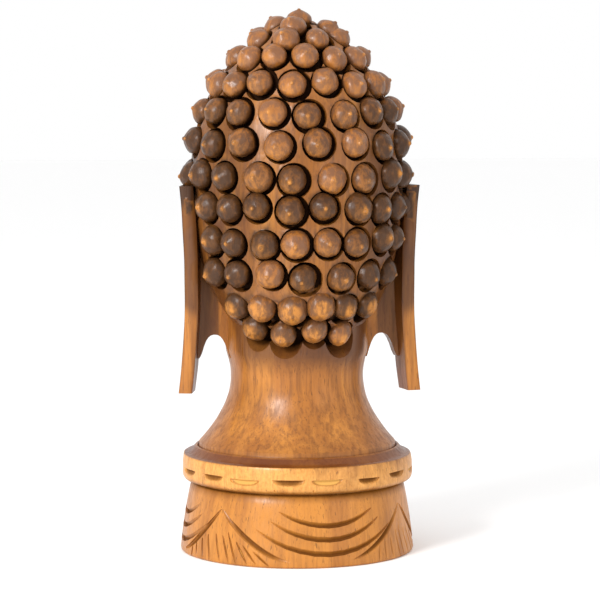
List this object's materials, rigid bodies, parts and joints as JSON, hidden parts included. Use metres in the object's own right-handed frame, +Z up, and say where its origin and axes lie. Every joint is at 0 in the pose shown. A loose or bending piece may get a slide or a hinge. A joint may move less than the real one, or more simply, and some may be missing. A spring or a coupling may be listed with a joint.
{
  "type": "carved wooden buddha head",
  "caption": "Ornamental Buddha head with snail-shell curls, long ears and a neck that flares into a round stand, all carved from one block of wood.",
  "frame": {"origin": "middle of the flat underside, on the floor it stands on", "axes": "+Z up through the crown, the face towards -Y, the figure's left ear on the +X side"},
  "size_m": [0.1348, 0.1318, 0.3006],
  "materials": {
    "wood": "oiled and waxed hardwood, golden to reddish brown, darker in the carved hollows"
  },
  "bodies": {
    "root": {"carved_buddha_head": "wood"}
  },
  "joints": []
}
